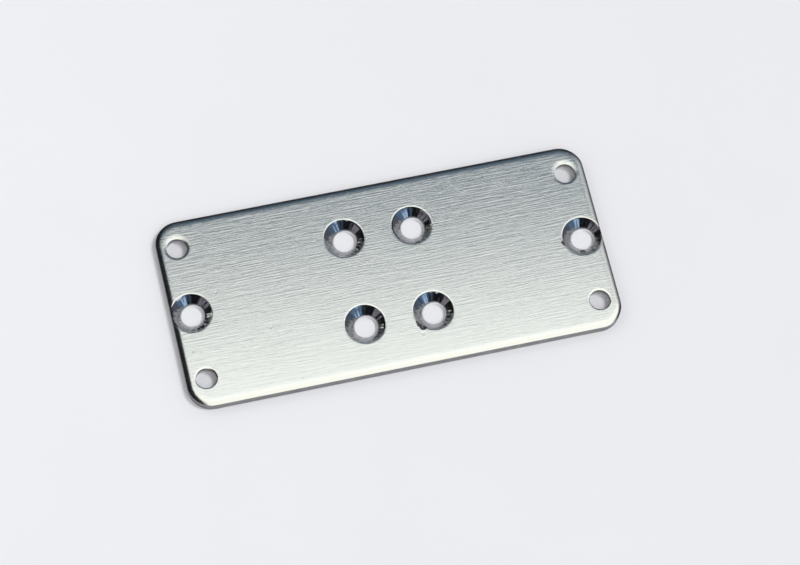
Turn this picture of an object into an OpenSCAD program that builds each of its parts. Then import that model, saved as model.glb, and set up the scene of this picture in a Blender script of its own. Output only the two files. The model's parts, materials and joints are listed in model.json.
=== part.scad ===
// Stamped chassis plate: one flat rectangle of brushed steel sheet with rounded corners.
// The punch has rolled its upper edges over. Four plain holes sit in the corners, and six
// countersunk screw holes sit at the two ends and in a rectangle round the middle.
// The plate lies on z = 0 with its show face up, its length along X and its middle at the origin.

/* [Sheet] */
// Length of the plate
plate_length = 88; // [70:0.5:160]
// Width of the plate
plate_width = 39.8; // [32:0.2:80]
// Thickness of the sheet
sheet_thickness = 2.5; // [1.8:0.1:4]
// Radius of the four corners, seen from above
corner_radius = 4.8; // [2.4:0.1:8]

/* [Rolled edge] */
// How far the rolled edge reaches in from the side walls
edge_roll_width = 1.6; // [0.6:0.1:2]
// How far the face has sunk where it meets the side walls
edge_roll_depth = 0.35; // [0.1:0.05:0.6]

/* [Corner holes] */
// Diameter of the punched corner holes
corner_hole_d = 4.5; // [2.5:0.1:5.5]
// Distance from each end to the holes of that end
end_inset = 4; // [3.6:0.1:8]
// Distance from each long side to the corner holes
side_inset = 5.8; // [4.5:0.1:9]
// How far the rolled lip reaches out from a corner hole
hole_roll_width = 0.7; // [0.3:0.05:0.9]
// How far the face has sunk at the rim of a corner hole
hole_roll_depth = 0.15; // [0.05:0.01:0.3]

/* [Countersunk holes] */
// Diameter of the screw holes
screw_hole_d = 4.5; // [2.5:0.1:5.5]
// Diameter of a countersink at the face
countersink_d = 8.2; // [6.5:0.1:9.5]
// Angle across a countersink
countersink_angle = 110; // [90:1:120]
// Spacing of the four middle holes along the plate
middle_pitch_x = 13.9; // [10:0.1:30]
// Spacing of the four middle holes across the plate
middle_pitch_y = 18.8; // [10:0.1:20]

/* [Wear] */
// Radius of the nick in the rim of one middle hole
middle_nick_r = 0.8; // [0.2:0.05:1]
// Direction of the nick in the middle hole, from its centre
middle_nick_angle = 228; // [0:1:359]
// Radius of the nick in the rim of one end hole
end_nick_r = 0.45; // [0.2:0.05:1]
// Direction of the nick in the end hole, from its centre
end_nick_angle = 188; // [120:1:240]

/* [Hidden] */
$fn = 96;

// How far a cutter reaches past the faces that it opens
cut_margin = 1;
// Height of a nick's round tool above the face, as a share of the tool's radius
nick_lift = 0.4;
// How far the crown of a lip's arc stands above the face, so that the two meet at a faint crease
lip_crease = 0.02;

straight_x = plate_length - 2 * corner_radius;
straight_y = plate_width - 2 * corner_radius;
corner_pitch_x = plate_length - 2 * end_inset;
corner_pitch_y = plate_width - 2 * side_inset;
countersink_depth = (countersink_d - screw_hole_d) / 2 / tan(countersink_angle / 2);
edge_roll_radius = roll_radius(edge_roll_width, edge_roll_depth);
hole_roll_radius = roll_radius(hole_roll_width, hole_roll_depth);

// Radius of the arc that leaves the face level and sinks by depth over width
function roll_radius(width, depth) = (width * width + depth * depth) / (2 * depth);

// Half of the sheet's section, from its middle out to a side wall with a rolled upper edge
module half_section(reach) {
    roll_start = reach - edge_roll_width;
    square([roll_start, sheet_thickness]);
    intersection() {
        translate([roll_start, 0]) square([edge_roll_width, sheet_thickness + cut_margin]);
        translate([roll_start, sheet_thickness - edge_roll_radius]) circle(r = edge_roll_radius);
    }
}

// The middle of the sheet, with its two long sides
module long_sides() {
    rotate([90, 0, 90])
        translate([0, 0, -straight_x / 2])
            linear_extrude(straight_x) {
                half_section(plate_width / 2);
                mirror([1, 0]) half_section(plate_width / 2);
            }
}

// One short side, without its corners
module short_side() {
    translate([straight_x / 2, 0, 0])
        rotate([90, 0, 0])
            translate([0, 0, -straight_y / 2])
                linear_extrude(straight_y) half_section(corner_radius);
}

// One rounded corner
module corner() {
    translate([straight_x / 2, straight_y / 2, 0])
        rotate_extrude(angle = 90) half_section(corner_radius);
}

// The whole sheet before its holes
module sheet() {
    long_sides();
    for (end = [0, 1])
        mirror([end, 0, 0]) {
            short_side();
            corner();
            mirror([0, 1, 0]) corner();
        }
}

// Straight cutter for a hole through the sheet
module through_hole(diameter) {
    translate([0, 0, -cut_margin])
        cylinder(d = diameter, h = sheet_thickness + 2 * cut_margin);
}

// Cutter for a punched hole and the lip that the punch rolled into its rim
module punched_hole() {
    lip_reach = corner_hole_d / 2 + hole_roll_width;
    through_hole(corner_hole_d);
    rotate_extrude()
        difference() {
            translate([0, sheet_thickness - hole_roll_depth])
                square([lip_reach, hole_roll_depth + cut_margin]);
            translate([lip_reach, sheet_thickness - hole_roll_radius + lip_crease])
                circle(r = hole_roll_radius);
        }
}

// Cutter for a screw hole and its countersink
module countersunk_hole() {
    cone_height = countersink_depth + cut_margin;
    through_hole(screw_hole_d);
    translate([0, 0, sheet_thickness - countersink_depth])
        cylinder(d1 = screw_hole_d,
                 d2 = screw_hole_d + 2 * cone_height * tan(countersink_angle / 2),
                 h = cone_height);
}

// Cutter for a shallow nick in a countersink's rim
module rim_nick(radius, angle) {
    rotate(angle)
        translate([countersink_d / 2, 0, sheet_thickness + nick_lift * radius])
            sphere(r = radius);
}

module plate() {
    color("silver")
        difference() {
            sheet();
            for (x = [-1, 1] * corner_pitch_x / 2, y = [-1, 1] * corner_pitch_y / 2)
                translate([x, y, 0]) punched_hole();
            for (x = [-1, 1] * corner_pitch_x / 2)
                translate([x, 0, 0]) countersunk_hole();
            for (x = [-1, 1] * middle_pitch_x / 2, y = [-1, 1] * middle_pitch_y / 2)
                translate([x, y, 0]) countersunk_hole();
            translate([middle_pitch_x / 2, -middle_pitch_y / 2, 0])
                rim_nick(middle_nick_r, middle_nick_angle);
            translate([corner_pitch_x / 2, 0, 0])
                rim_nick(end_nick_r, end_nick_angle);
        }
}

plate();
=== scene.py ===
import json
import math

import bpy
import numpy as np
from mathutils import Matrix, Vector
from mathutils.geometry import delaunay_2d_cdt


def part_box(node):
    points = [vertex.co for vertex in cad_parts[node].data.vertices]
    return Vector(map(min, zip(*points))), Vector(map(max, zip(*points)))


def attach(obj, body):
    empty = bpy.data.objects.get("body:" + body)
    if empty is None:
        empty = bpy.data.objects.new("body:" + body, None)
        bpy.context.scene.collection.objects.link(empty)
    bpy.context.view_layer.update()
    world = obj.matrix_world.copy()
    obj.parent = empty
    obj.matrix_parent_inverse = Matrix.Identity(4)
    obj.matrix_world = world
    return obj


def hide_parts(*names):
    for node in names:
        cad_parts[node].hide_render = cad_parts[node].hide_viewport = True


# A stamped chassis plate of brushed steel sheet, lying on a pale floor with its show face up.
# One closed mesh stands for the CAD plate. It has the rolled edges and hole lips of the solid and
# adds what a solid leaves out: tool chatter in the countersinks, sheared side walls, worn rims.

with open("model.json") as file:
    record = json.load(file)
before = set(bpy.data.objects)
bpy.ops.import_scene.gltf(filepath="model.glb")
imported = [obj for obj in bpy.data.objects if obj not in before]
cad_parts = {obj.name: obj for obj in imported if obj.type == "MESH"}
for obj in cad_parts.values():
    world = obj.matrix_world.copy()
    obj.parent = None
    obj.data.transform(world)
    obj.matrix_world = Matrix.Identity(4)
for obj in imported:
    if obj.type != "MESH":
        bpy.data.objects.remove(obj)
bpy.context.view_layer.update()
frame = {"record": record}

MM = 0.001

# Sizes from the frame

plate_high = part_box("plate")[1]
HALF_LENGTH = plate_high[0]
HALF_WIDTH = plate_high[1]
THICKNESS = plate_high[2]
MOUNT_SIZES = {mount["name"]: mount["dims"] for mount in frame["record"]["mounts"]}
HOLE_RADIUS = MOUNT_SIZES["corner_holes"]["hole_r_mm"] * MM
BORE_RADIUS = MOUNT_SIZES["middle_screw_holes"]["hole_r_mm"] * MM


def hole_centres(mount_name):
    """Centres of the holes of a pattern that lies evenly about the plate's middle."""
    sizes = MOUNT_SIZES[mount_name]
    x = sizes["spacing_x_mm"] * MM / 2
    y = sizes.get("spacing_y_mm", 0) * MM / 2
    return sorted({(side * x, end * y) for side in (-1, 1) for end in (-1, 1)})


CORNER_HOLES = hole_centres("corner_holes")
END_HOLES = hole_centres("end_screw_holes")
MIDDLE_HOLES = hole_centres("middle_screw_holes")
SCREW_HOLES = END_HOLES + MIDDLE_HOLES

# Sizes of the stamped and turned forms

CORNER_RADIUS = 4.8 * MM
EDGE_ROLL_WIDTH = 1.9 * MM
EDGE_ROLL_DEPTH = 0.3 * MM
# How fast a roll steepens towards its rim, and how far past the rim its form is still defined
ROLL_POWER = 3.0
ROLL_OVERRUN = 0.01
LIP_POWER = 2.0
# The lip of a corner hole is broad on the side towards +Y, where the punch leaned, and narrow opposite
HOLE_LIP_WIDTH = 1.2 * MM
HOLE_LIP_NARROWEST = 0.4
HOLE_LIP_DEPTH = 0.125 * MM
# Width of the lips of the two holes towards -Y, as a share of the others'
NARROW_LIP = 0.4
# The punch left the corner holes narrower at the show face than at the back
HOLE_RIM_RADIUS = HOLE_RADIUS - 0.18 * MM
SINK_RADIUS = 4.1 * MM
SINK_HALF_ANGLE = math.radians(48.5)
SINK_LIP_WIDTH = 0.4 * MM
SINK_LIP_DEPTH = 0.033 * MM
SINK_SLOPE = 1 / math.tan(SINK_HALF_ANGLE)
# How far the middle of a countersink's wall stands out from a straight cone, times four
SINK_BOW = 0.22 * MM
# Rounding where a cone runs into its bore
BORE_BREAK_WIDTH = 0.35 * MM
BORE_BREAK_DEPTH = 0.12 * MM
# How far along the plate the bores lie off the axes of their countersinks
BORE_OFFSET = 0.2 * MM
# Facets that tool chatter leaves round a cone, the range of their widths before they are made to fit,
# and the rise of the steepest for each radian
CHATTER_FACETS = 40
FACET_WIDTHS = (0.5, 1.5)
CHATTER_RISE = 0.6 * MM
# Share of a cone, from its rim, over which the chatter fades in
CHATTER_FADE = 0.2
# Share of the sheet's thickness that the punch burnished before the rest broke away
BURNISHED_SHARE = 0.55
BREAK_TAPER = 0.04 * MM
BREAK_ROUGHNESS = 0.02 * MM
# Rows of points on the side walls, as shares of their height, close together where the bands change
BREAK_LINE = 1 - BURNISHED_SHARE
WALL_LEVELS = [1.0, 0.97, BREAK_LINE + 0.03, BREAK_LINE, 0.3, 0.15, 0.0]
WALL_SEED = 7

# Pointed nicks in the rims of two countersinks and a chip at one bore: direction and distance from the
# hole's centre, and depth, which is also about the radius at the face
NICK_TIP = 0.05 * MM
AT_RIM = SINK_RADIUS + NICK_TIP
AT_BORE = BORE_RADIUS + 0.4 * MM
NICKS = {
    (MIDDLE_HOLES[-1][0], MIDDLE_HOLES[0][1]): [
        (math.radians(227), AT_RIM, 0.66 * MM),
        (math.radians(215), AT_RIM, 0.5 * MM),
        (math.radians(206), AT_RIM, 0.25 * MM),
    ],
    END_HOLES[-1]: [
        (math.radians(188), AT_RIM, 0.4 * MM),
        (math.radians(197), AT_RIM, 0.2 * MM),
        (math.radians(259), AT_BORE, 0.16 * MM),
    ],
}

# Shallow pits and scuffs in the show face: place, radius and depth
PITS = [
    (-13.0 * MM, 9.8 * MM, 0.25 * MM, 0.05 * MM),
    (-28.6 * MM, 6.2 * MM, 0.22 * MM, 0.05 * MM),
    (-34.3 * MM, 3.2 * MM, 0.22 * MM, 0.04 * MM),
    (-25.4 * MM, -6.3 * MM, 0.20 * MM, 0.04 * MM),
    (-41.4 * MM, -8.1 * MM, 0.20 * MM, 0.05 * MM),
    (-21.5 * MM, -17.9 * MM, 0.20 * MM, 0.04 * MM),
    (3.9 * MM, -13.8 * MM, 0.60 * MM, 0.02 * MM),
    (41.4 * MM, -4.9 * MM, 0.20 * MM, 0.04 * MM),
]

# Fineness of the mesh

EDGE_STEP = 0.5 * MM
CORNER_STEPS = 24
ROLL_STEPS = 10
GRID_STEP = 0.9 * MM
GRID_CLEARANCE = 0.3 * GRID_STEP
RING_STEPS = 192
LIP_STEPS = 8
PIT_STEPS = 4
PIT_RING_STEPS = 16
SINK_STEPS = 26
# Kind of triangulation that fills the whole hull of its points
WHOLE_HULL = 0
WALL_STEPS = 5
WELD = 1e-8
# Least gap between points of the face that come from different forms
POINT_GAP = 0.1 * MM
# Seed of the first countersink's chatter; the others follow on
FIRST_SEED = 40
# How far past a countersink its rim is looked for, in how many steps
RIM_SEARCH = 1 * MM
RIM_SEARCH_STEPS = 1200
# Step over which slopes are measured
SLOPE_STEP = 1e-6
# Where the first hole's and the first bore's texture places start, in metres, so that no two are alike
FIRST_HOLE_START = 1
FIRST_BORE_START = FIRST_HOLE_START + len(CORNER_HOLES)

# Numbers of the materials

FACE, CONE, WALL, BORE, PUNCHED = range(5)


# Heights of the show face

def roll_drop(reach, width, depth, power=ROLL_POWER):
    """Sink of a rolled edge, a given reach past where it leaves the face, steeper towards its rim."""
    return depth * np.clip(reach / width, 0, 1 + ROLL_OVERRUN) ** power


def past_corner_centres(x, y):
    """How far a place lies past the centres of the corner arcs, along each axis."""
    past_x = np.abs(x) - (HALF_LENGTH - CORNER_RADIUS)
    past_y = np.abs(y) - (HALF_WIDTH - CORNER_RADIUS)
    return past_x, past_y


def edge_distance(x, y):
    """Distance in from the outline, negative outside it."""
    past_x, past_y = past_corner_centres(x, y)
    outside = np.hypot(np.maximum(past_x, 0), np.maximum(past_y, 0))
    return CORNER_RADIUS - outside - np.minimum(np.maximum(past_x, past_y), 0)


def face_height(x, y):
    """Height of the show face with its rolled edge, the lips round its holes, and its pits."""
    height = THICKNESS - roll_drop(EDGE_ROLL_WIDTH - edge_distance(x, y), EDGE_ROLL_WIDTH, EDGE_ROLL_DEPTH)
    for centre_x, centre_y in CORNER_HOLES:
        radius = np.hypot(x - centre_x, y - centre_y)
        lean = (1 + (y - centre_y) / np.maximum(radius, WELD)) / 2
        breadth = HOLE_LIP_NARROWEST + (1 - HOLE_LIP_NARROWEST) * lean
        breadth = breadth * (1 if centre_y > 0 else NARROW_LIP)
        lip_width = HOLE_LIP_WIDTH * breadth
        lip_depth = HOLE_LIP_DEPTH * np.sqrt(breadth)
        past_rim = radius - HOLE_RIM_RADIUS
        height = height - roll_drop(lip_width - past_rim, lip_width, lip_depth, LIP_POWER)
    for centre_x, centre_y in SCREW_HOLES:
        past_rim = np.hypot(x - centre_x, y - centre_y) - SINK_RADIUS
        height = height - roll_drop(SINK_LIP_WIDTH - past_rim, SINK_LIP_WIDTH, SINK_LIP_DEPTH)
    for pit_x, pit_y, radius, depth in PITS:
        reach = np.hypot(x - pit_x, y - pit_y) / radius
        height = height - depth * np.maximum(1 - reach ** 2, 0) ** 2
    return height


def upward_normals(height, x, y):
    """Unit normals of a surface given as a height over the plate."""
    step = SLOPE_STEP
    slope_x = (height(x + step, y) - height(x - step, y)) / (2 * step)
    slope_y = (height(x, y + step) - height(x, y - step)) / (2 * step)
    normals = np.stack([-slope_x, -slope_y, np.ones_like(slope_x)], axis=-1)
    return normals / np.linalg.norm(normals, axis=-1, keepdims=True)


# Countersinks

class Countersink:
    """One countersunk hole: its turned cone, and the nicks in its rim if it has any."""

    def __init__(self, index, centre):
        self.index = index
        self.centre = centre
        self.bore_centre = (centre[0] + BORE_OFFSET, centre[1])
        random = np.random.default_rng(FIRST_SEED + index)
        widths = random.uniform(*FACET_WIDTHS, CHATTER_FACETS)
        widths = widths * 2 * math.pi / widths.sum()
        self.facet_edges = np.cumsum(widths)
        self.bore_facets = self.facet_heights(random, widths)
        self.rim_facets = self.facet_heights(random, widths)
        self.angles = np.arange(RING_STEPS) * 2 * math.pi / RING_STEPS
        self.rim = self.find_rim()

    def facet_heights(self, random, widths):
        """Heights at the edges of facets that rise and fall by turns and come back to where they began."""
        slopes = random.uniform(0, 1, CHATTER_FACETS)
        slopes[::2] *= -1
        slopes = slopes - (slopes * widths).sum() / (2 * math.pi)
        heights = np.cumsum(slopes * widths)
        return CHATTER_RISE * (heights - heights.mean())

    def chatter(self, radius, angle):
        """Facets that the tool left round the cone, which change on the way from the bore to the rim."""
        outward = np.clip((radius - BORE_RADIUS) / (SINK_RADIUS - BORE_RADIUS), 0, 1)
        at_bore = np.interp(angle, self.facet_edges, self.bore_facets, period=2 * math.pi)
        at_rim = np.interp(angle, self.facet_edges, self.rim_facets, period=2 * math.pi)
        return at_bore + outward * (at_rim - at_bore)

    def turned_height(self, x, y):
        """Height of the cone as turned, with the chatter of the tool and the rounding at the bore."""
        across = x - self.centre[0]
        along = y - self.centre[1]
        radius = np.hypot(across, along)
        inward = (SINK_RADIUS - radius) / (SINK_RADIUS - BORE_RADIUS)
        cone = THICKNESS - (SINK_RADIUS - radius) * SINK_SLOPE + SINK_BOW * inward * (1 - inward)
        fade = np.clip(inward / CHATTER_FADE, 0, 1)
        cone = cone + fade * self.chatter(radius, np.arctan2(along, across))
        past_bore = np.hypot(x - self.bore_centre[0], y - self.bore_centre[1]) - BORE_RADIUS
        return cone - roll_drop(BORE_BREAK_WIDTH - past_bore, BORE_BREAK_WIDTH, BORE_BREAK_DEPTH)

    def height(self, x, y):
        """Height of the cone with the nicks that were knocked into its rim later."""
        cone = self.turned_height(x, y)
        for direction, distance, reach in NICKS.get(self.centre, []):
            middle_x, middle_y = self.place(distance, direction)
            from_middle = np.hypot(x - middle_x, y - middle_y)
            top = THICKNESS - max(SINK_RADIUS - distance, 0) * SINK_SLOPE
            cone = np.minimum(cone, top - reach + np.maximum(from_middle - NICK_TIP, 0))
        return cone

    def place(self, radius, angle):
        """Place over the plate at a radius and an angle about the hole's centre."""
        return self.centre[0] + radius * np.cos(angle), self.centre[1] + radius * np.sin(angle)

    def find_rim(self):
        """Radius at each angle where the cone or the nick breaks out through the show face."""
        radii = np.linspace(BORE_RADIUS, SINK_RADIUS + RIM_SEARCH, RIM_SEARCH_STEPS)[:, None]
        x, y = self.place(radii, self.angles[None, :])
        below = face_height(x, y) - self.height(x, y) > 0
        last = len(radii) - 1 - np.argmax(below[::-1], axis=0)
        return radii[last, 0]

    def covers(self, x, y, margin=0.0):
        """True where a place lies inside the rim, or within a margin of it."""
        radius = np.hypot(x - self.centre[0], y - self.centre[1])
        angle = np.arctan2(y - self.centre[1], x - self.centre[0]) % (2 * math.pi)
        rim = np.interp(angle, np.append(self.angles, 2 * math.pi), np.append(self.rim, self.rim[0]))
        return radius < rim + margin


# Mesh building

class Skin:
    """Faces of the plate, with a normal and a texture place for each corner of each face."""

    def __init__(self):
        self.patches = []

    def add(self, corners, normals, texture_places, material):
        """Adds faces that have the same number of corners: arrays of face, corner and value. The
        material is one number, or one for each face."""
        materials = np.broadcast_to(np.ravel(material), len(corners))
        self.patches.append((corners, normals, texture_places, materials.tolist()))

    def band(self, rows, normals, texture_places, material, inward):
        """Adds quads between rows of points that run round a loop. Rows have one point more than
        the loop, so that the last column closes it. Inward bands face the loop's middle."""
        def quads(values):
            corners = [values[:-1, :-1], values[1:, :-1], values[1:, 1:], values[:-1, 1:]]
            if inward:
                corners.reverse()
            return np.stack(corners, axis=2).reshape(-1, 4, values.shape[-1])

        self.add(quads(rows), quads(normals), quads(texture_places), material)

    def mesh(self, name):
        """The finished mesh, welded, with its own shading normals and grain directions."""
        corners = np.concatenate([patch[0].reshape(-1, 3) for patch in self.patches])
        keys = np.round(corners / WELD).astype(np.int64)
        _, first, numbers = np.unique(keys, axis=0, return_index=True, return_inverse=True)
        numbers = iter(numbers.ravel().tolist())
        faces, normals, texture_places, materials = [], [], [], []
        for face_corners, face_normals, face_places, face_materials in self.patches:
            for normal_set, place_set, material in zip(face_normals, face_places, face_materials):
                face = [next(numbers) for _ in range(face_corners.shape[1])]
                kept = [turn for turn, number in enumerate(face) if number not in face[:turn]]
                if len(kept) < 3:
                    continue
                faces.append([face[turn] for turn in kept])
                normals.extend(normal_set[turn] for turn in kept)
                texture_places.extend(place_set[turn] for turn in kept)
                materials.append(material)
        mesh = bpy.data.meshes.new(name)
        mesh.from_pydata(corners[first].tolist(), [], faces)
        mesh.polygons.foreach_set("material_index", materials)
        mesh.polygons.foreach_set("use_smooth", [True] * len(faces))
        layer = mesh.uv_layers.new(name="grain")
        layer.data.foreach_set("uv", np.array(texture_places, dtype=np.float32).ravel())
        mesh.normals_split_custom_set(normals)
        mesh.update()
        return mesh


def closed(columns):
    """Repeats the first column after the last, which closes a loop."""
    return np.concatenate([columns, columns[:, :1]], axis=1)


def outline():
    """Points round the plate's outline, with their outward directions and the way along it."""
    straight_x = HALF_LENGTH - CORNER_RADIUS
    straight_y = HALF_WIDTH - CORNER_RADIUS
    centres = [(straight_x, straight_y), (-straight_x, straight_y),
               (-straight_x, -straight_y), (straight_x, -straight_y)]
    points, directions = [], []
    for corner, (centre_x, centre_y) in enumerate(centres):
        for step in range(CORNER_STEPS + 1):
            angle = (corner + step / CORNER_STEPS) * math.pi / 2
            direction = (math.cos(angle), math.sin(angle))
            points.append((centre_x + CORNER_RADIUS * direction[0], centre_y + CORNER_RADIUS * direction[1]))
            directions.append(direction)
        next_x, next_y = centres[(corner + 1) % 4]
        length = math.hypot(next_x - centre_x, next_y - centre_y)
        last_x, last_y = points[-1]
        steps = round(length / EDGE_STEP)
        for step in range(1, steps):
            share = step / steps
            points.append((last_x + share * (next_x - centre_x), last_y + share * (next_y - centre_y)))
            directions.append(direction)
    points = np.array(points)
    lengths = np.linalg.norm(np.diff(points, axis=0, append=points[:1]), axis=1)
    return points, np.array(directions), np.concatenate([[0], np.cumsum(lengths)])


def triangulate(points, loops):
    """Triangles over the hull of some points, with closed loops of points kept as edges."""
    edges = []
    for loop in loops:
        edges.extend((loop[step], loop[(step + 1) % len(loop)]) for step in range(len(loop)))
    vectors = [Vector((float(x), float(y))) for x, y in points]
    found, _, triangles, origins, _, _ = delaunay_2d_cdt(vectors, edges, [], WHOLE_HULL, WELD, True)
    places = np.array([(place.x, place.y) for place in found])
    for number, origin in enumerate(origins):
        if origin:
            places[number] = points[origin[0]]
    triangles = np.array(triangles)
    a, b, c = (places[triangles[:, corner]] for corner in range(3))
    turned_over = (b - a)[:, 0] * (c - a)[:, 1] < (b - a)[:, 1] * (c - a)[:, 0]
    triangles[turned_over] = triangles[turned_over][:, ::-1]
    return places, triangles


def ring(centre, radius, steps=RING_STEPS):
    """Points round a circle."""
    angles = np.arange(steps) * 2 * math.pi / steps
    return np.stack([centre[0] + radius * np.cos(angles), centre[1] + radius * np.sin(angles)], axis=1)


def grain_place(x, y):
    """Texture place on the flat faces: across the brushing first, then along it."""
    return np.stack([y, x], axis=-1)


def in_any_hole(x, y, sinks, margin):
    """True inside a corner hole or a countersink, or within a margin of one."""
    inside = np.zeros(np.shape(x), dtype=bool)
    for centre_x, centre_y in CORNER_HOLES:
        inside |= np.hypot(x - centre_x, y - centre_y) < HOLE_RIM_RADIUS + margin
    for sink in sinks:
        inside |= sink.covers(x, y, margin)
    return inside


def within_loop(x, y, centre, radii):
    """True inside the polygon with corners at even angles and the given radii about a centre."""
    step = 2 * math.pi / RING_STEPS
    angle = np.arctan2(y - centre[1], x - centre[0]) % (2 * math.pi)
    number = (angle / step).astype(int) % RING_STEPS
    past = angle - number * step
    before, after = radii[number], radii[(number + 1) % RING_STEPS]
    chord = before * after * math.sin(step) / (before * np.sin(past) + after * np.sin(step - past))
    return np.hypot(x - centre[0], y - centre[1]) < chord


def add_flat(skin, points, loops, height, holes, up, material):
    """Adds one of the two large faces, triangulated between its loops and left open in the holes."""
    places, triangles = triangulate(points, loops)
    middles = places[triangles].mean(axis=1)
    for centre, radii in holes:
        is_open = within_loop(middles[:, 0], middles[:, 1], centre, radii)
        triangles, middles = triangles[~is_open], middles[~is_open]
    x, y = places[:, 0], places[:, 1]
    corners = np.stack([x, y, height(x, y)], axis=-1)
    normals = upward_normals(height, x, y)
    if not up:
        triangles = triangles[:, ::-1]
        normals = -normals
    skin.add(corners[triangles], normals[triangles], grain_place(x, y)[triangles], material)


def interior_grid(sinks, clearance):
    """Points of an even grid inside the outline and clear of the holes."""
    columns = round(2 * HALF_LENGTH / GRID_STEP)
    rows = round(2 * HALF_WIDTH / GRID_STEP)
    x, y = np.meshgrid(
        np.linspace(-HALF_LENGTH, HALF_LENGTH, columns), np.linspace(-HALF_WIDTH, HALF_WIDTH, rows)
    )
    x, y = x.ravel(), y.ravel()
    keep = edge_distance(x, y) > EDGE_ROLL_WIDTH + clearance
    keep &= ~in_any_hole(x, y, sinks, HOLE_LIP_WIDTH + clearance)
    for pit_x, pit_y, radius, _ in PITS:
        keep &= np.hypot(x - pit_x, y - pit_y) > radius + clearance
    return np.stack([x[keep], y[keep]], axis=1)


def start_groups(outline_points, holes):
    """The points of an outline and of the rims of the holes in it, and the loops that they form."""
    groups = [outline_points]
    loops = [np.arange(len(outline_points))]
    count = len(outline_points)
    for centre, radii in holes:
        groups.append(ring(centre, radii))
        loops.append(count + np.arange(RING_STEPS))
        count += RING_STEPS
    return groups, loops


def show_face(skin, sinks, rim_points, rim_directions):
    """The brushed face, from the start of the side walls in to the rims of the holes."""
    holes = [(centre, np.full(RING_STEPS, HOLE_RIM_RADIUS)) for centre in CORNER_HOLES]
    holes += [(sink.centre, sink.rim) for sink in sinks]
    groups, loops = start_groups(rim_points, holes)
    for step in range(1, ROLL_STEPS + 1):
        row = rim_points - rim_directions * EDGE_ROLL_WIDTH * step / ROLL_STEPS
        groups.append(row[~in_any_hole(row[:, 0], row[:, 1], sinks, POINT_GAP)])
    for step in range(1, LIP_STEPS + 1):
        for centre in CORNER_HOLES:
            groups.append(ring(centre, HOLE_RIM_RADIUS + HOLE_LIP_WIDTH * step / LIP_STEPS))
        for sink in sinks:
            radii = sink.rim + SINK_LIP_WIDTH * step / LIP_STEPS
            row = np.stack(sink.place(radii, sink.angles), axis=1)
            groups.append(row[edge_distance(row[:, 0], row[:, 1]) > POINT_GAP])
    for pit_x, pit_y, radius, _ in PITS:
        for step in range(PIT_STEPS + 1):
            groups.append(ring((pit_x, pit_y), radius * step / PIT_STEPS, PIT_RING_STEPS if step else 1))
    groups.append(interior_grid(sinks, GRID_CLEARANCE))
    add_flat(skin, np.concatenate(groups), loops, face_height, holes, True, FACE)


def back_face(skin, sinks, foot_points):
    """The flat back, open where the holes come through."""
    holes = [(centre, np.full(RING_STEPS, HOLE_RADIUS)) for centre in CORNER_HOLES]
    holes += [(sink.bore_centre, np.full(RING_STEPS, BORE_RADIUS)) for sink in sinks]
    groups, loops = start_groups(foot_points, holes)
    groups.append(interior_grid(sinks, GRID_STEP))

    def level(x, y):
        return np.zeros_like(x)

    add_flat(skin, np.concatenate(groups), loops, level, holes, False, FACE)


def side_wall(skin, rim_points, rim_directions, way):
    """The sheared side of the sheet: a burnished band under the roll, then the broken metal."""
    top = face_height(rim_points[:, 0], rim_points[:, 1])
    random = np.random.default_rng(WALL_SEED)
    rows = []
    for level in WALL_LEVELS:
        broken = max(0.0, 1 - level / BREAK_LINE)
        roughness = BREAK_ROUGHNESS * broken if level else 0.0
        inset = BREAK_TAPER * broken + roughness * random.random(len(rim_points))
        row = rim_points - rim_directions * np.asarray(inset)[:, None] if broken else rim_points
        rows.append(np.column_stack([row, top * level]))
    rows = np.stack(rows)
    normals = np.column_stack([rim_directions, np.zeros(len(rim_directions))])
    normals = np.repeat(normals[None], len(rows), axis=0)
    heights = closed(rows[:, :, 2])
    texture_places = np.stack([np.repeat(way[None], len(rows), axis=0), heights], axis=-1)
    skin.band(closed(rows), closed(normals), texture_places, WALL, inward=False)
    return rows[-1][:, :2]


def round_wall(skin, centre, rim_radius, foot_radius, top, start, material):
    """The wall of a round hole, from its upper rim down to the back."""
    rows = []
    for step in range(WALL_STEPS + 1):
        share = step / WALL_STEPS
        circle = ring(centre, rim_radius + share * (foot_radius - rim_radius))
        rows.append(np.column_stack([circle, top * (1 - share)]))
    rows = np.stack(rows)
    angles = np.arange(RING_STEPS + 1) * 2 * math.pi / RING_STEPS
    inward = np.column_stack([np.asarray(centre) - ring(centre, foot_radius), np.zeros(RING_STEPS)])
    normals = np.repeat(inward[None] / foot_radius, WALL_STEPS + 1, axis=0)
    heights = closed(rows[:, :, 2])
    way = np.repeat((start + angles * foot_radius)[None], WALL_STEPS + 1, axis=0)
    skin.band(closed(rows), closed(normals), np.stack([way, heights], axis=-1), material, inward=True)


def cone_wall(skin, sink):
    """The turned cone of a countersink, from its rim down to the bore."""
    shares = (np.arange(SINK_STEPS + 1) / SINK_STEPS)[:, None]
    rim_x, rim_y = sink.place(sink.rim, sink.angles)
    bore_x, bore_y = ring(sink.bore_centre, BORE_RADIUS).T
    x = rim_x * (1 - shares) + bore_x * shares
    y = rim_y * (1 - shares) + bore_y * shares
    radii = np.hypot(x - sink.centre[0], y - sink.centre[1])
    heights = np.minimum(sink.height(x, y), face_height(x, y))
    heights[0] = face_height(x[0], y[0])
    rows = np.stack([x, y, heights], axis=-1)
    normals = upward_normals(sink.height, x, y)
    way = np.append(sink.angles, 2 * math.pi) * SINK_RADIUS + sink.index
    way = np.repeat(way[None], SINK_STEPS + 1, axis=0)
    texture_places = np.stack([closed(radii), way], axis=-1)
    nicked = closed(sink.height(x, y) < sink.turned_height(x, y))
    materials = np.where(nicked[:-1, :-1] & nicked[1:, 1:], WALL, CONE)
    skin.band(closed(rows), closed(normals), texture_places, materials, inward=True)
    return heights[-1]


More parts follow.
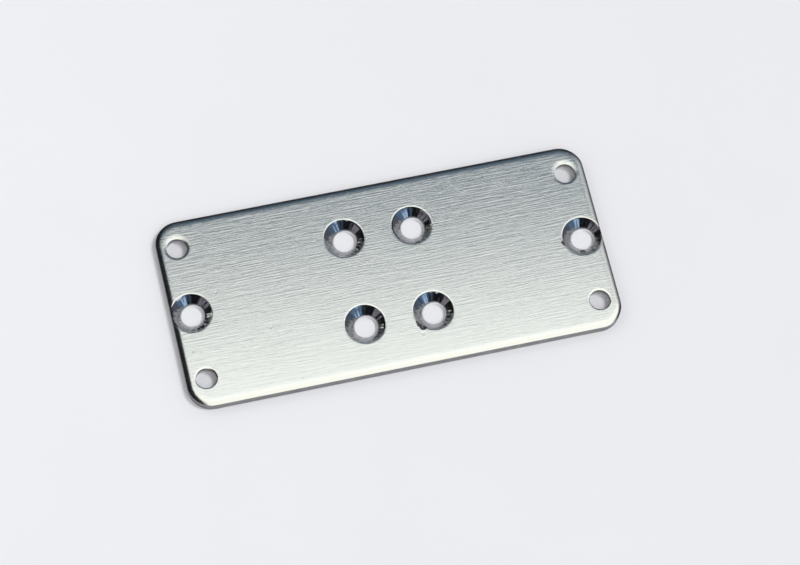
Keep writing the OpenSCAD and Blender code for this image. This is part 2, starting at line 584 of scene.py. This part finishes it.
def build_plate():
    """The whole plate as one closed mesh."""
    skin = Skin()
    sinks = [Countersink(index, centre) for index, centre in enumerate(SCREW_HOLES)]
    rim_points, rim_directions, way = outline()
    show_face(skin, sinks, rim_points, rim_directions)
    foot_points = side_wall(skin, rim_points, rim_directions, way)
    for number, centre in enumerate(CORNER_HOLES):
        circle = ring(centre, HOLE_RIM_RADIUS)
        top = face_height(circle[:, 0], circle[:, 1])
        round_wall(skin, centre, HOLE_RIM_RADIUS, HOLE_RADIUS, top, FIRST_HOLE_START + number, PUNCHED)
    for sink in sinks:
        bore_top = cone_wall(skin, sink)
        start = FIRST_BORE_START + sink.index
        round_wall(skin, sink.bore_centre, BORE_RADIUS, BORE_RADIUS, bore_top, start, BORE)
    back_face(skin, sinks, foot_points)
    plate = bpy.data.objects.new("brushed_plate", skin.mesh("brushed_plate"))
    bpy.context.scene.collection.objects.link(plate)
    return plate


# Materials

def new_material(name):
    """An empty node material: its nodes, its links and its main shader."""
    material = bpy.data.materials.new(name)
    material.use_nodes = True
    nodes = material.node_tree.nodes
    return material, nodes, material.node_tree.links, nodes["Principled BSDF"]


def stretched_noise(nodes, links, source, scales, detail=3.0, distortion=0.0):
    """Noise over a coordinate, with its own number of cells for each metre along each axis."""
    mapping = nodes.new("ShaderNodeMapping")
    mapping.inputs["Scale"].default_value = scales
    links.new(source, mapping.inputs["Vector"])
    noise = nodes.new("ShaderNodeTexNoise")
    noise.inputs["Scale"].default_value = 1.0
    noise.inputs["Detail"].default_value = detail
    noise.inputs["Distortion"].default_value = distortion
    links.new(mapping.outputs["Vector"], noise.inputs["Vector"])
    return noise.outputs["Fac"]


def mix_values(nodes, links, first, second, share):
    """Blend of two values."""
    mix = nodes.new("ShaderNodeMix")
    mix.inputs["Factor"].default_value = share
    links.new(first, mix.inputs["A"])
    links.new(second, mix.inputs["B"])
    return mix.outputs["Result"]


def to_range(nodes, links, value, low, high, from_low=0.0, from_high=1.0):
    """A value carried over to another range."""
    remap = nodes.new("ShaderNodeMapRange")
    remap.inputs["From Min"].default_value = from_low
    remap.inputs["From Max"].default_value = from_high
    remap.inputs["To Min"].default_value = low
    remap.inputs["To Max"].default_value = high
    links.new(value, remap.inputs["Value"])
    return remap.outputs["Result"]


def colour_between(nodes, links, value, dark, light, low=0.3, high=0.7):
    """A colour between two, following a value."""
    ramp = nodes.new("ShaderNodeValToRGB")
    ramp.color_ramp.elements[0].position = low
    ramp.color_ramp.elements[0].color = (*dark, 1)
    ramp.color_ramp.elements[1].position = high
    ramp.color_ramp.elements[1].color = (*light, 1)
    links.new(value, ramp.inputs["Fac"])
    return ramp.outputs["Color"]


def add_bump(nodes, links, height, distance, shader):
    """Puts fine relief on a shader, and gives the node that does so."""
    bump = nodes.new("ShaderNodeBump")
    bump.inputs["Strength"].default_value = 1.0
    bump.inputs["Distance"].default_value = distance
    links.new(height, bump.inputs["Height"])
    links.new(bump.outputs["Normal"], shader.inputs["Normal"])
    return bump


def follow_grain(nodes, links, shader, amount):
    """Stretches the shader's gloss across the grain that the texture places give."""
    tangent = nodes.new("ShaderNodeTangent")
    tangent.direction_type = "UV_MAP"
    tangent.uv_map = "grain"
    links.new(tangent.outputs["Tangent"], shader.inputs["Tangent"])
    shader.inputs["Anisotropic"].default_value = amount


# Upward part of the normal where a rolled edge is bare and where the face is level, and the haze there
ROLLED_UPWARD, LEVEL_UPWARD = 0.994, 0.9995
HAZY_METALLIC = 0.89
# Strength of the strokes at the side towards -Y
FAINT_STROKES = 0.55


def brushed_steel():
    """Steel brushed along the plate's length in short strokes that waver a little and are deepest
    towards +Y. The level parts are slightly hazy, and the parts that were rolled over are bare."""
    material, nodes, links, shader = new_material("brushed_steel")
    place = nodes.new("ShaderNodeTexCoord").outputs["Object"]
    strokes = stretched_noise(nodes, links, place, (160, 4600, 4600), 3.0, 0.1)
    hairs = stretched_noise(nodes, links, place, (420, 8500, 8500), 2.0, 0.2)
    patches = stretched_noise(nodes, links, place, (60, 350, 350), 2.0)
    relief = mix_values(nodes, links, strokes, hairs, 0.35)
    tone = mix_values(nodes, links, relief, patches, 0.3)
    colour = colour_between(nodes, links, tone, (0.743, 0.743, 0.733), (0.759, 0.759, 0.749))
    links.new(colour, shader.inputs["Base Color"])
    links.new(to_range(nodes, links, tone, 0.195, 0.14), shader.inputs["Roughness"])
    parts = nodes.new("ShaderNodeSeparateXYZ")
    links.new(nodes.new("ShaderNodeNewGeometry").outputs["Normal"], parts.inputs["Vector"])
    upward = parts.outputs["Z"]
    bareness = to_range(nodes, links, upward, 1.0, HAZY_METALLIC, ROLLED_UPWARD, LEVEL_UPWARD)
    links.new(bareness, shader.inputs["Metallic"])
    bump = add_bump(nodes, links, relief, 0.041 * MM, shader)
    place_parts = nodes.new("ShaderNodeSeparateXYZ")
    links.new(place, place_parts.inputs["Vector"])
    across = place_parts.outputs["Y"]
    strength = to_range(nodes, links, across, FAINT_STROKES, 1.0, -HALF_WIDTH, HALF_WIDTH)
    links.new(strength, bump.inputs["Strength"])
    follow_grain(nodes, links, shader, 0.5)
    return material


def turned_steel():
    """Bare steel turned by the countersinking tool, with fine rings and marks of chatter."""
    material, nodes, links, shader = new_material("turned_steel")
    source = nodes.new("ShaderNodeUVMap")
    source.uv_map = "grain"
    place = source.outputs["UV"]
    rings = stretched_noise(nodes, links, place, (9000, 60, 0), 2.0)
    marks = stretched_noise(nodes, links, place, (250, 1400, 0), 2.0)
    relief = mix_values(nodes, links, rings, marks, 0.6)
    colour = colour_between(nodes, links, marks, (0.37, 0.375, 0.395), (0.45, 0.455, 0.475))
    links.new(colour, shader.inputs["Base Color"])
    links.new(to_range(nodes, links, marks, 0.08, 0.16), shader.inputs["Roughness"])
    shader.inputs["Metallic"].default_value = 1.0
    add_bump(nodes, links, relief, 0.012 * MM, shader)
    follow_grain(nodes, links, shader, 0.4)
    return material


def sheared_steel():
    """Steel where the punch sheared it, dull and scored along the stroke of the punch."""
    material, nodes, links, shader = new_material("sheared_steel")
    source = nodes.new("ShaderNodeUVMap")
    source.uv_map = "grain"
    place = source.outputs["UV"]
    scores = stretched_noise(nodes, links, place, (4000, 300, 0), 3.0)
    blotches = stretched_noise(nodes, links, place, (300, 600, 0), 3.0)
    tone = mix_values(nodes, links, scores, blotches, 0.4)
    colour = colour_between(nodes, links, tone, (0.21, 0.21, 0.22), (0.34, 0.34, 0.34))
    links.new(colour, shader.inputs["Base Color"])
    links.new(to_range(nodes, links, tone, 0.52, 0.36), shader.inputs["Roughness"])
    shader.inputs["Metallic"].default_value = 1.0
    add_bump(nodes, links, scores, 0.02 * MM, shader)
    return material


def punched_steel_painted_shade():
    """Steel in the punched corner holes, coloured with painted shade: dark at the top under the rim and pale
    lower down, where the pale stands in for the bright floor mirrored in the wall.
    """
    material, nodes, links, shader = new_material("punched_steel_painted_shade")
    source = nodes.new("ShaderNodeUVMap")
    source.uv_map = "grain"
    place = source.outputs["UV"]
    parts = nodes.new("ShaderNodeSeparateXYZ")
    links.new(place, parts.inputs["Vector"])
    # Painted shade and painted reflection: the colour runs from dark at the top of the wall to pale at the
    # back face, following how the wall is lit rather than a change in the metal.
    depth = to_range(nodes, links, parts.outputs["Y"], 1.0, 0.0, 0.0, THICKNESS)
    scores = stretched_noise(nodes, links, place, (3000, 300, 0), 3.0)
    tone = mix_values(nodes, links, depth, scores, 0.2)
    colour = colour_between(nodes, links, tone, (0.12, 0.12, 0.13), (0.90, 0.90, 0.92), 0.35, 0.9)
    links.new(colour, shader.inputs["Base Color"])
    shader.inputs["Roughness"].default_value = 0.4
    shader.inputs["Metallic"].default_value = 1.0
    add_bump(nodes, links, scores, 0.01 * MM, shader)
    return material


def bored_steel():
    """Bright steel in the drilled bores under the countersinks."""
    material, nodes, links, shader = new_material("bored_steel")
    source = nodes.new("ShaderNodeUVMap")
    source.uv_map = "grain"
    rings = stretched_noise(nodes, links, source.outputs["UV"], (300, 9000, 0), 2.0)
    colour = colour_between(nodes, links, rings, (0.90, 0.90, 0.92), (0.95, 0.95, 0.96))
    links.new(colour, shader.inputs["Base Color"])
    links.new(to_range(nodes, links, rings, 0.18, 0.10), shader.inputs["Roughness"])
    shader.inputs["Metallic"].default_value = 1.0
    return material


# Floor, light and camera

SKY = (0.35, 0.35, 0.35)
FLOOR_REACH = 3.0
# Height of a direction's end at which the pale horizon has gone
HORIZON_TOP = 0.20
PLATE_MIDDLE = (0, 0, 0)


def add_floor():
    """A plain pale floor under the plate."""
    low, high = -FLOOR_REACH, FLOOR_REACH
    mesh = bpy.data.meshes.new("floor")
    mesh.from_pydata([(low, low, 0), (high, low, 0), (high, high, 0), (low, high, 0)], [], [(0, 1, 2, 3)])
    material, nodes, links, shader = new_material("pale_floor")
    place = nodes.new("ShaderNodeTexCoord").outputs["Object"]
    mottle = stretched_noise(nodes, links, place, (40, 40, 40), 2.0)
    colour = colour_between(nodes, links, mottle, (0.845, 0.853, 0.884), (0.855, 0.863, 0.894))
    links.new(colour, shader.inputs["Base Color"])
    shader.inputs["Roughness"].default_value = 0.9
    shader.inputs["Specular IOR Level"].default_value = 0.1
    mesh.materials.append(material)
    floor = bpy.data.objects.new("floor", mesh)
    bpy.context.scene.collection.objects.link(floor)


def add_lamp(name, place, target, width, height, radiance, colour, turn=0.0):
    """A rectangular lamp that faces a target. Its brightness is given as seen from the front."""
    data = bpy.data.lights.new(name, "AREA")
    data.shape = "RECTANGLE"
    data.size = width
    data.size_y = height
    data.energy = radiance * width * height * math.pi
    data.color = colour
    lamp = bpy.data.objects.new(name, data)
    away = (Vector(place) - Vector(target)).normalized()
    facing = away.to_track_quat("Z", "Y").to_matrix().to_4x4()
    spin = Matrix.Rotation(math.radians(turn), 4, "Z")
    lamp.matrix_world = Matrix.Translation(place) @ facing @ spin
    bpy.context.scene.collection.objects.link(lamp)
    return lamp


def add_glow(nodes, links, direction, under, towards, colour, start):
    """A soft light in the room, in one direction, that starts at a given cosine from its middle."""
    nearness = nodes.new("ShaderNodeVectorMath")
    nearness.operation = "DOT_PRODUCT"
    nearness.inputs[1].default_value = Vector(towards).normalized()
    links.new(direction, nearness.inputs[0])
    mix = nodes.new("ShaderNodeMix")
    mix.data_type = "RGBA"
    mix.inputs["B"].default_value = (*colour, 1)
    share = to_range(nodes, links, nearness.outputs["Value"], 0.0, 1.0, start, 1.0)
    links.new(share, mix.inputs["Factor"])
    links.new(under, mix.inputs["A"])
    return mix.outputs["Result"]


def light_world():
    """An even soft sky. Gloss shows a dim room instead, paler at the horizon, with soft glows round it."""
    world = bpy.data.worlds.new("room")
    bpy.context.scene.world = world
    world.use_nodes = True
    nodes, links = world.node_tree.nodes, world.node_tree.links
    direction = nodes.new("ShaderNodeTexCoord").outputs["Generated"]
    parts = nodes.new("ShaderNodeSeparateXYZ")
    links.new(direction, parts.inputs["Vector"])
    horizon, dark = (0.42, 0.42, 0.43), (0.012, 0.013, 0.016)
    room = colour_between(nodes, links, parts.outputs["Z"], horizon, dark, 0.0, HORIZON_TOP)
    glows = [
        dict(towards=(0.22, 0.45, 0.86), colour=(0.12, 0.18, 0.24), start=0.87),
        dict(towards=(0.56, -0.72, 0.41), colour=(0.20, 0.31, 0.46), start=0.77),
        dict(towards=(-0.837, -0.305, 0.454), colour=(0.14, 0.13, 0.15), start=0.92),
        dict(towards=(0.962, -0.084, 0.259), colour=(0.17, 0.18, 0.22), start=0.92),
    ]
    for glow in glows:
        room = add_glow(nodes, links, direction, room, **glow)
    mix = nodes.new("ShaderNodeMix")
    mix.data_type = "RGBA"
    mix.inputs["A"].default_value = (*SKY, 1)
    links.new(nodes.new("ShaderNodeLightPath").outputs["Is Glossy Ray"], mix.inputs["Factor"])
    links.new(room, mix.inputs["B"])
    links.new(mix.outputs["Result"], nodes["Background"].inputs["Color"])


def add_lamps():
    """A soft lamp close overhead with a brighter middle, a distant key lamp, and weaker lights round it."""
    white, greenish, bluish = (1, 1, 1), (1.0, 1.0, 0.905), (0.54, 0.75, 1.0)
    mauve, yellowish, warm = (1.0, 0.95, 1.04), (1.0, 0.98, 0.85), (1.0, 0.985, 0.965)
    overhead = add_lamp(
        "overhead", place=(0.063, -0.0645, 0.25), target=(0.063, -0.0645, 0),
        width=0.32, height=0.323, radiance=1.135, colour=greenish, turn=-6)
    crown = add_lamp(
        "crown", place=(0.063, -0.080, 0.245), target=(0.063, -0.080, 0),
        width=0.31, height=0.256, radiance=0.14, colour=white, turn=-6)
    add_lamp(
        "window", place=(0.42, -0.85, 0.34), target=PLATE_MIDDLE,
        width=0.26, height=0.36, radiance=1.0, colour=bluish)
    add_lamp(
        "left_card", place=(-0.855, -0.26, 0.42), target=PLATE_MIDDLE,
        width=0.56, height=0.27, radiance=0.22, colour=mauve)
    add_lamp(
        "right_card", place=(0.31, 0.185, 0.345), target=PLATE_MIDDLE,
        width=0.2, height=0.2, radiance=0.45, colour=white)
    add_lamp(
        "strip", place=(-0.79, 0.595, 0.12), target=PLATE_MIDDLE,
        width=0.07, height=0.12, radiance=2.0, colour=yellowish)
    key = add_lamp(
        "key", place=(0.82, -0.16, 2.20), target=PLATE_MIDDLE,
        width=0.35, height=0.60, radiance=31.0, colour=white)
    fill = add_lamp(
        "fill", place=(0.25, -1.00, 1.90), target=PLATE_MIDDLE,
        width=1.2, height=1.2, radiance=2.6, colour=warm)
    balance = add_lamp(
        "balance", place=(-0.22, 0.08, 0.25), target=(-0.22, 0.08, 0),
        width=0.3, height=0.3, radiance=0.6, colour=white)
    for lamp in (overhead, crown):
        lamp.visible_diffuse = False
    for lamp in (key, fill, balance):
        lamp.visible_glossy = False


def add_camera():
    """The camera at the photograph's viewing angle, fitted to the holes and the outline."""
    azimuth = math.radians(-20.778)
    elevation = math.radians(67.318)
    roll = math.radians(8.125)
    distance = 639.231 * MM
    shift_right = 2.415 * MM
    shift_up = -0.727 * MM
    focal_pixels = 3200
    image_width = 800
    level = math.cos(elevation)
    back = Vector((math.sin(azimuth) * level, -math.cos(azimuth) * level, math.sin(elevation)))
    level_right = Vector((math.cos(azimuth), math.sin(azimuth), 0))
    level_up = back.cross(level_right)
    right = level_right * math.cos(roll) + level_up * math.sin(roll)
    up = back.cross(right)
    data = bpy.data.cameras.new("camera")
    data.sensor_width = 36
    data.lens = focal_pixels * data.sensor_width / image_width
    camera = bpy.data.objects.new("camera", data)
    turn = Matrix((right, up, back)).transposed().to_4x4()
    camera.matrix_world = Matrix.Translation(distance * back + shift_right * right + shift_up * up) @ turn
    bpy.context.scene.collection.objects.link(camera)
    bpy.context.scene.camera = camera


plate = build_plate()
for finish in (brushed_steel, turned_steel, sheared_steel, bored_steel, punched_steel_painted_shade):
    plate.data.materials.append(finish())
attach(plate, "root")
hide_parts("plate")
add_floor()
light_world()
add_lamps()
add_camera()
bpy.context.scene.view_settings.view_transform = "Standard"
